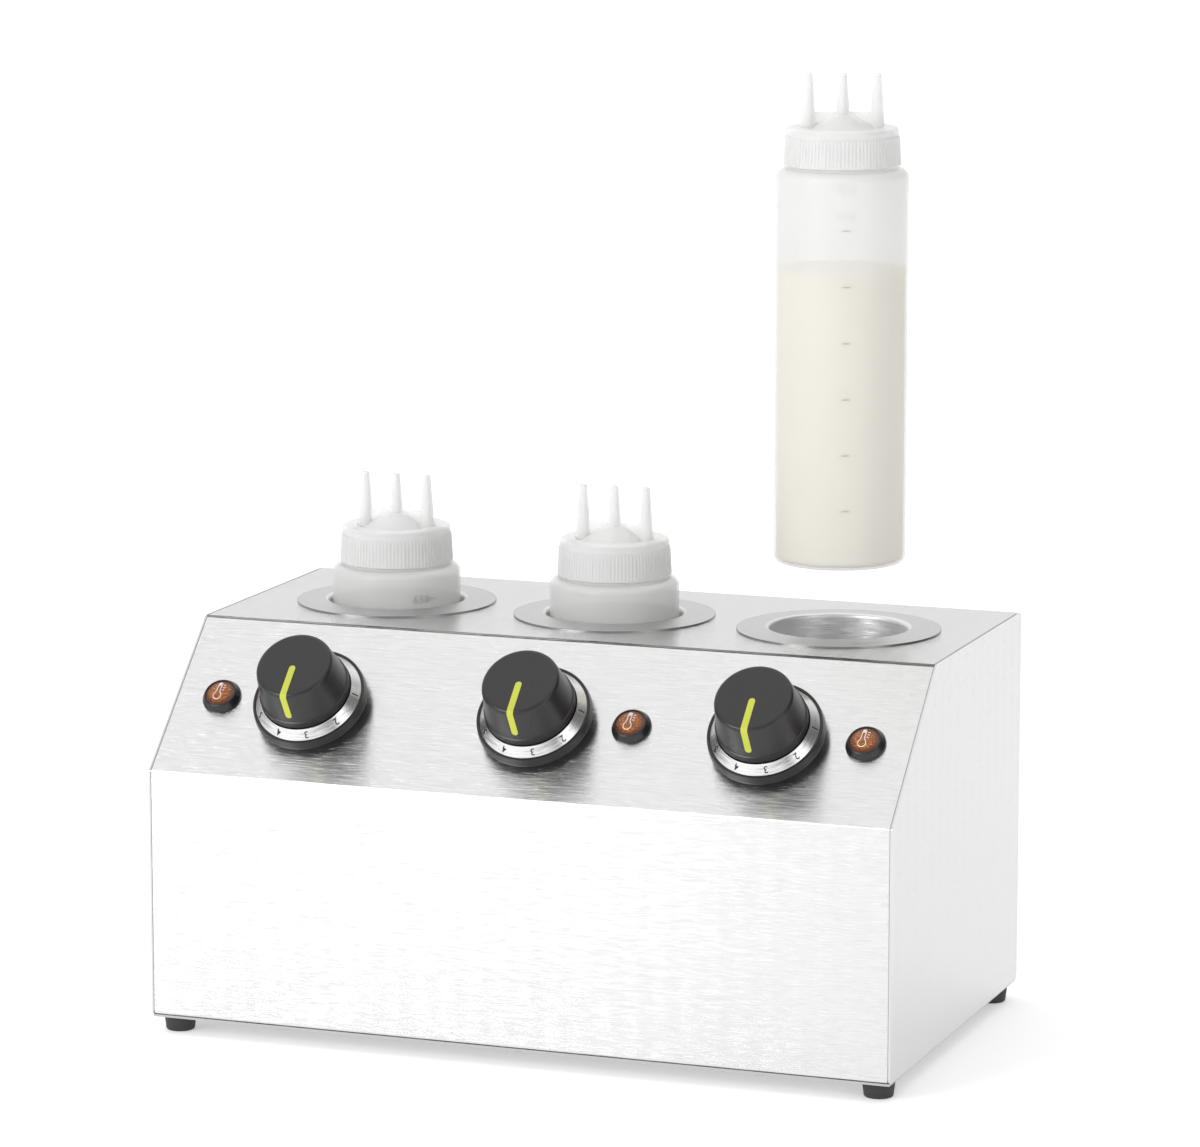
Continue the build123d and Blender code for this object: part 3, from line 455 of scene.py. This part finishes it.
finishes = {
    # The casing sheet carries a dark line at the deck's joint with the slope: dirt and painted shadow.
    "casing_steel": brushed_sheet("casing brushed steel", ALONG_X, joint_shadow_at=DECK_EDGE),
    "base_steel": brushed_sheet("base sheet steel", ALONG_X, tone=0.5, depth=0.5, gloss=0.3),
    "fastener_steel": rolled_steel("plated fasteners", tone=0.62, gloss=0.32),
    "heater_steel": rolled_steel("heat-dulled sheath", tone=0.42, gloss=0.42, warm=0.06),
    "spindle_steel": rolled_steel("turned spindle", tone=0.66, gloss=0.25),
    "copper_tube": drawn_copper("capillary copper"),
    "insulation_wool": mineral_wool("mineral wool"),
    "foot_rubber": moulded_rubber("foot rubber", rgb(0.022, 0.022, 0.024)),
    "seal_silicone": moulded_rubber("seal silicone", rgb(0.74, 0.74, 0.72)),
    "bezel_plastic": satin_plastic("dial bezel black", BLACK, gloss=0.30),
    "knob_plastic": satin_plastic("knob charcoal", rgb(0.018, 0.018, 0.019), gloss=0.30),
    "pointer_plastic": satin_plastic("pointer yellow", rgb(0.56, 0.60, 0.060), gloss=0.45),
    "lamp_plastic": satin_plastic("lamp bezel black", rgb(0.016, 0.016, 0.018), gloss=0.26),
    "gland_plastic": satin_plastic("gland black", rgb(0.022, 0.022, 0.024), gloss=0.42),
    "block_plastic": satin_plastic("terminal block", rgb(0.78, 0.77, 0.72), gloss=0.40),
    "thermostat_plastic": satin_plastic("thermostat case", rgb(0.085, 0.060, 0.040), gloss=0.38),
    "ring_silver": number_ring_silver(
        "number ring silver", dial_centre("middle")[0], DIAL_PITCH, OUT),
    "lens_amber": amber_lens("amber lens", LAMPS, OUT),
    "bottle_plastic": milky_plastic(
        "bottle natural", rgb(0.89, 0.895, 0.89), alpha=0.42, gloss=0.30),
    "cap_plastic": milky_plastic(
        "cap natural", rgb(0.96, 0.965, 0.96), alpha=0.55, gloss=0.30, flow=0.0001),
    "sauce_cream": cream_sauce("cream sauce"),
}
special = {f"well_{side}": spun_steel(f"spun well {side}", node_middle(f"well_{side}"))
           for side in SIDES}
panel_steel = brushed_sheet("end panel brushed steel", ALONG_Y, tone=0.66)
special.update({"end_panel_left": panel_steel, "end_panel_right": panel_steel})

for part in record["subparts"]:
    finish = special.get(part["node"]) or finishes[part["material_slot"]]
    finish.lay(nodes[part["node"]])

number_ink = satin_plastic("dial number ink", BLACK, gloss=0.5)
marks_plastic = milky_plastic(
    "bottle marks", rgb(0.46, 0.46, 0.45), alpha=0.72, gloss=0.45, flow=0.0001)
symbol_ink = satin_plastic("lamp symbol white", rgb(0.86, 0.86, 0.88), gloss=0.4)


# ---------------------------------------------------------------- modelling

def deselect():
    bpy.ops.object.select_all(action="DESELECT")


def settled(obj, name, finish, body):
    """Names a finished piece, gives it its finish and hands it to its body."""
    obj.name = name
    obj.data.name = name
    finish.lay(obj)
    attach(obj, body)
    return obj


def copied(obj, matrix):
    """Copy of a piece with its own mesh, moved in its mesh."""
    twin = obj.copy()
    twin.data = obj.data.copy()
    bpy.context.scene.collection.objects.link(twin)
    twin.data.transform(matrix)
    return twin


def joined(objects):
    deselect()
    for obj in objects:
        obj.select_set(True)
    bpy.context.view_layer.objects.active = objects[0]
    bpy.ops.object.join()
    return bpy.context.view_layer.objects.active


def upright(x_axis, y_axis, z_axis, origin):
    """Matrix that takes local axes to the given ones."""
    matrix = Matrix((x_axis, y_axis, z_axis)).transposed().to_4x4()
    matrix.translation = origin
    return matrix


def turned(degrees):
    return Matrix.Rotation(math.radians(degrees), 4, "Z")


def merged(threshold):
    """Merges near points of the mesh in edit mode and points its faces outwards."""
    bpy.ops.mesh.select_all(action="SELECT")
    bpy.ops.mesh.remove_doubles(threshold=threshold)
    bpy.ops.mesh.normals_make_consistent(inside=False)
    bpy.ops.object.mode_set(mode="OBJECT")


def glyph(text, height, depth):
    """Printed or moulded character, centred and facing +Z."""
    digit_share, stroke_swell = 0.7, 0.012
    deselect()
    bpy.ops.object.text_add(location=(0.0, 0.0, 0.0))
    obj = bpy.context.active_object
    obj.data.body = text
    obj.data.align_x = "CENTER"
    obj.data.align_y = "CENTER"
    obj.data.size = height / digit_share
    obj.data.extrude = depth / 2
    obj.data.resolution_u = 4
    obj.data.offset = height * stroke_swell
    bpy.ops.object.convert(target="MESH")
    obj = bpy.context.active_object
    bpy.ops.object.mode_set(mode="EDIT")
    merged(MERGE_GAP)
    xs = [vertex.co.x for vertex in obj.data.vertices]
    ys = [vertex.co.y for vertex in obj.data.vertices]
    middle = Vector((middle_of(xs), middle_of(ys), 0.0))
    scale = height / (max(ys) - min(ys))
    obj.data.transform(Matrix.Diagonal((scale, scale, 1.0, 1.0)) @ Matrix.Translation(-middle))
    return obj


def dial_numbers():
    """Numbers 1 to 5 on each silver ring, their tops outwards."""
    angles = {"1": 86.0, "2": 127.0, "3": 164.0, "4": 198.0, "5": 235.0}
    number_height, ink_depth, ink_lift = 0.0036, 0.00006, 0.00001
    radius = (RING_OUTER + RING_INNER) / 2
    height = RING_EDGE + RING_RISE / 2
    slant = math.atan2(RING_RISE, RING_OUTER - RING_INNER)
    glyphs = {text: glyph(text, number_height, ink_depth) for text in angles}
    for side in SIDES:
        centre = dial_centre(side)[0]
        made = []
        for text, angle in angles.items():
            turn = math.radians(angle)
            radial = X_AXIS * math.sin(turn) + UP_SLOPE * math.cos(turn)
            top = radial * math.cos(slant) - OUT * math.sin(slant)
            face = radial * math.sin(slant) + OUT * math.cos(slant)
            origin = centre + radial * radius + OUT * height + face * ink_lift
            made.append(copied(glyphs[text], upright(top.cross(face), top, face, origin)))
        settled(joined(made), f"dial_numbers_{side}", number_ink, "warmer")
    for obj in glyphs.values():
        bpy.data.objects.remove(obj)


def wire_along(points, radius, closed):
    """Round line through a few control points, made a mesh."""
    curve = bpy.data.curves.new("line", "CURVE")
    curve.dimensions = "3D"
    curve.bevel_depth = radius
    curve.bevel_resolution = 2
    curve.use_fill_caps = True
    spline = curve.splines.new("NURBS")
    spline.points.add(len(points) - 1)
    for control, point in zip(spline.points, points):
        control.co = (*point, 1.0)
    spline.order_u = 3
    spline.use_endpoint_u = not closed
    spline.use_cyclic_u = closed
    spline.resolution_u = 6
    obj = bpy.data.objects.new("line", curve)
    bpy.context.scene.collection.objects.link(obj)
    deselect()
    obj.select_set(True)
    bpy.context.view_layer.objects.active = obj
    bpy.ops.object.convert(target="MESH")
    return bpy.context.active_object


def on_lens(spots):
    """Points over a lens's back face, lifted to its crowned front."""
    fall = LENS_CROWN - LENS_EDGE
    return [(x, y, LENS_CROWN - fall * (x * x + y * y) / LENS_RADIUS ** 2) for x, y in spots]


def lamp_symbols():
    """Plain thermometer outline on each lens: a bulb, a stem, its column and three ticks."""
    line = 0.00024
    tick_line, column_line = line * 0.8, line * 2.6
    x = -0.00065
    stem, bulb = 0.0009, 0.0021 * 1.04
    low, high = -0.0023, 0.0050
    bulb_points, bulb_start, bulb_turn = 9, -205, 28.75
    tick_heights, tick_reaches = (0.0044, 0.0028, 0.0012), (0.0019, 0.0024, 0.0030)
    column_top, column_points, column_step = high + 0.0004, 4, 0.0005
    outline = []
    for step in range(bulb_points):
        turn = math.radians(bulb_start + step * bulb_turn)
        outline.append((x + bulb * math.cos(turn), low + bulb * math.sin(turn)))
    side_heights = (low + 0.0024, low + 0.0036, high - 0.0012, high)
    outline += [(x + stem, y) for y in side_heights]
    outline += [(x + stem * 0.9, high + stem), (x - stem * 0.9, high + stem)]
    outline += [(x - stem, y) for y in reversed(side_heights)]
    made = [wire_along(on_lens(outline), line, closed=True)]
    for y in tick_heights:
        ends = [(x + reach, y) for reach in tick_reaches]
        made.append(wire_along(on_lens(ends), tick_line, closed=False))
    column = [(x, column_top - step * column_step) for step in range(column_points)]
    made.append(wire_along(on_lens(column), column_line, closed=False))
    symbol = joined(made)
    for side, centre in zip(SIDES, LAMPS):
        lens_place = upright(X_AXIS, UP_SLOPE, OUT, centre)
        settled(copied(symbol, lens_place), f"lamp_symbol_{side}", symbol_ink,
                "warmer")
    bpy.data.objects.remove(symbol)


def cap_ribs():
    """Fine upright ribs on each cap's skirt: one is shaped, the rest are copies of it."""
    count, width, depth, proud = 96, 0.00095, 0.0010, 0.00022
    end_gap, edge_round = 0.0006, 0.00018
    height = CAP_STEP - 2 * end_gap
    deselect()
    bpy.ops.mesh.primitive_cube_add(size=1.0)
    rib = bpy.context.active_object
    bpy.ops.object.mode_set(mode="EDIT")
    bpy.ops.transform.resize(value=(depth, width, height))
    bpy.ops.transform.translate(
        value=(CAP_RADIUS + proud - depth / 2, 0.0, end_gap + height / 2))
    mesh = bmesh.from_edit_mesh(rib.data)
    for face in mesh.faces:
        face.select = face.normal.z > 0.9
    bmesh.update_edit_mesh(rib.data)
    lean = (CAP_RADIUS - CAP_STEP_RADIUS) * height / CAP_STEP
    bpy.ops.transform.translate(value=(-lean, 0.0, 0.0))
    bpy.ops.mesh.select_all(action="DESELECT")
    mesh = bmesh.from_edit_mesh(rib.data)
    outer = max(vertex.co.x for vertex in mesh.verts) - 2 * lean
    for edge in mesh.edges:
        edge.select = all(vertex.co.x > outer - depth / 3 for vertex in edge.verts)
    bmesh.update_edit_mesh(rib.data)
    bpy.ops.mesh.bevel(offset=edge_round, segments=2, affect="EDGES")
    bpy.ops.object.mode_set(mode="OBJECT")
    turns = [Matrix.Rotation(math.tau * step / count, 4, "Z") for step in range(count)]
    ring = joined([copied(rib, turn) for turn in turns])
    bpy.data.objects.remove(rib)
    for side in SIDES:
        low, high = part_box(f"bottle_cap_{side}")
        middle = (low + high) / 2
        place = Matrix.Translation((middle.x, middle.y, low.z))
        settled(copied(ring, place), f"cap_ribs_{side}", finishes["cap_plastic"],
                f"cap_unit_{side}")
    bpy.data.objects.remove(ring)


def tick(width, height, proud):
    """Raised bar rooted in the bottle's wall: a small upright face spun round the axis."""
    root = 0.0002
    thick = proud + root
    deselect()
    bpy.ops.mesh.primitive_plane_add(size=1.0, rotation=(math.pi / 2, 0.0, 0.0))
    bar = bpy.context.active_object
    bpy.ops.object.transform_apply(location=True, rotation=True, scale=True)
    bpy.ops.object.mode_set(mode="EDIT")
    bpy.ops.mesh.select_all(action="SELECT")
    bpy.ops.transform.resize(value=(thick, 1.0, height))
    bpy.ops.transform.translate(value=(BOTTLE_RADIUS + proud - thick / 2, 0.0, 0.0))
    bpy.ops.mesh.spin(steps=6, angle=width / BOTTLE_RADIUS, center=(0.0, 0.0, 0.0),
                      axis=(0.0, 0.0, 1.0))
    merged(MERGE_GAP / 2)
    close_ends(bar)
    angles = [math.atan2(vertex.co.y, vertex.co.x) for vertex in bar.data.vertices]
    bar.data.transform(Matrix.Rotation(-middle_of(angles), 4, "Z"))
    return bar


def close_ends(obj):
    """Closes any open edge loop and points the faces outwards."""
    bpy.context.view_layer.objects.active = obj
    bpy.ops.object.mode_set(mode="EDIT")
    bpy.ops.mesh.select_all(action="DESELECT")
    bpy.ops.mesh.select_non_manifold()
    if any(vertex.select for vertex in bmesh.from_edit_mesh(obj.data).verts):
        bpy.ops.mesh.edge_face_add()
    bpy.ops.mesh.select_all(action="SELECT")
    bpy.ops.mesh.normals_make_consistent(inside=False)
    bpy.ops.object.mode_set(mode="OBJECT")


def bottle_marks():
    """Moulded measure on each bottle, up to 650 ml.

    A tick stands at each 50 ml, with a short one opposite at each 100 ml. A number stands at
    each 100 ml and at 650.
    """
    step_ml, full_ml, rise_per_ml = 50, 650, 0.0002868
    first_digit, digit_pitch = -14.5, 5.4
    digit_height, digit_depth, digit_lift = 0.0042, 0.00024, 0.00003
    long_tick = tick(width=0.0070, height=0.00055, proud=0.00014)
    short_tick = tick(width=0.0040, height=0.00050, proud=0.00012)
    digits = {text: glyph(text, digit_height, digit_depth) for text in "0123456789"}
    facing = {"left": -36.0, "middle": 150.0, "right": 112.0}
    for side in SIDES:
        low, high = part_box(f"bottle_{side}")
        middle = (low + high) / 2
        base = Matrix.Translation((middle.x, middle.y, low.z))
        turn = facing[side]
        made = []
        for amount in range(step_ml, full_ml + 1, step_ml):
            height = BOTTLE_FLOOR + amount * rise_per_ml
            whole = amount % 100 == 0
            up = Matrix.Translation((0.0, 0.0, height))
            made.append(copied(short_tick if whole else long_tick, base @ turned(turn) @ up))
            if whole:
                made.append(copied(short_tick, base @ turned(turn + 180.0) @ up))
            elif amount != full_ml:
                continue
            for place, digit in enumerate(str(amount)):
                angle = math.radians(turn + first_digit + place * digit_pitch)
                face = Vector((math.cos(angle), math.sin(angle), 0.0))
                spot = face * (BOTTLE_RADIUS + digit_lift) + Z_AXIS * height
                lettering = base @ upright(Z_AXIS.cross(face), Z_AXIS, face, spot)
                made.append(copied(digits[digit], lettering))
        settled(joined(made), f"bottle_marks_{side}", marks_plastic,
                f"bottle_unit_{side}")
    for obj in [long_tick, short_tick] + list(digits.values()):
        bpy.data.objects.remove(obj)


dial_numbers()
lamp_symbols()
cap_ribs()
bottle_marks()


# ---------------------------------------------------------------- studio

def floor():
    """Pale floor that glows a little, so that it stays near white."""
    deselect()
    bpy.ops.mesh.primitive_plane_add(size=26.0, location=(0.0, 6.0, 0.0))
    ground = bpy.context.active_object
    bpy.ops.object.transform_apply(location=True, rotation=True, scale=True)
    ground.name = "studio_floor"
    finish = Finish("studio floor", Emission_Strength=0.36, Emission_Color=WHITE)
    cloud = finish.noise(finish.place(), scale=0.7, detail=2.0)
    finish.feed("Base Color", finish.mix(cloud, grey(0.865), grey(0.885)))
    finish.feed("Roughness", 0.85 + cloud * 0.1)
    finish.lay(ground)


def facing_rotation(direction):
    return Vector(direction).to_track_quat("-Z", "Y").to_euler()


def soft_light(name, place, target, size, watts):
    light = bpy.data.lights.new(name, "AREA")
    light.shape = "RECTANGLE"
    light.size, light.size_y = size
    light.energy = watts
    obj = bpy.data.objects.new(name, light)
    bpy.context.scene.collection.objects.link(obj)
    obj.location = place
    obj.rotation_euler = facing_rotation(Vector(target) - Vector(place))


def studio_sky(level, zenith, shades):
    """White surroundings, from level to zenith, dimmed by each shade.

    A shade is a direction, the two cosines between which it changes, and its value at each.
    """
    world = bpy.data.worlds.new("studio")
    bpy.context.scene.world = world
    world.use_nodes = True
    tree = world.node_tree
    place = tree.nodes.new("ShaderNodeTexCoord").outputs["Generated"]

    def along(direction, low, high, at_low, at_high):
        lean = tree.nodes.new("ShaderNodeVectorMath")
        lean.operation = "DOT_PRODUCT"
        lean.inputs[1].default_value = direction
        fade = tree.nodes.new("ShaderNodeMapRange")
        fade.interpolation_type = "SMOOTHSTEP"
        for socket, value in zip(fade.inputs[1:5], (low, high, at_low, at_high)):
            socket.default_value = value
        tree.links.new(place, lean.inputs[0])
        tree.links.new(lean.outputs["Value"], fade.inputs[0])
        return fade.outputs[0]

    strength = along((0.0, 0.0, 1.0), 0.0, 1.0, level, zenith)
    for shade_of_sky in shades:
        product = tree.nodes.new("ShaderNodeMath")
        product.operation = "MULTIPLY"
        tree.links.new(strength, product.inputs[0])
        tree.links.new(along(*shade_of_sky), product.inputs[1])
        strength = product.outputs[0]
    background = tree.nodes["Background"]
    background.inputs["Color"].default_value = WHITE
    tree.links.new(strength, background.inputs["Strength"])


def camera(place, direction, lens):
    data = bpy.data.cameras.new("camera")
    data.lens = lens
    data.sensor_width = 36.0
    obj = bpy.data.objects.new("camera", data)
    bpy.context.scene.collection.objects.link(obj)
    obj.location = place
    obj.rotation_euler = facing_rotation(direction)
    bpy.context.scene.camera = obj


floor()
soft_light("key", place=(-2.1, -3.5, 1.8), target=(-0.9, -1.3, 0.0), size=(1.8, 1.8), watts=69.0)
soft_light("fill", place=(2.4, -1.4, 1.0), target=(0.0, 0.0, 0.15), size=(1.4, 1.4), watts=10.0)
studio_sky(level=0.92, zenith=1.26, shades=(
    ((0.35, 0.85, 0.4), -0.45, 0.35, 0.55, 1.0),
    ((1.0, 0.15, -0.1), 0.20, 0.80, 1.0, 0.12),
))
camera(place=(0.9544, -2.5822, 0.7180), direction=(-0.3401, 0.9243, -0.1729), lens=161.57)
bpy.context.scene.view_settings.view_transform = "Standard"
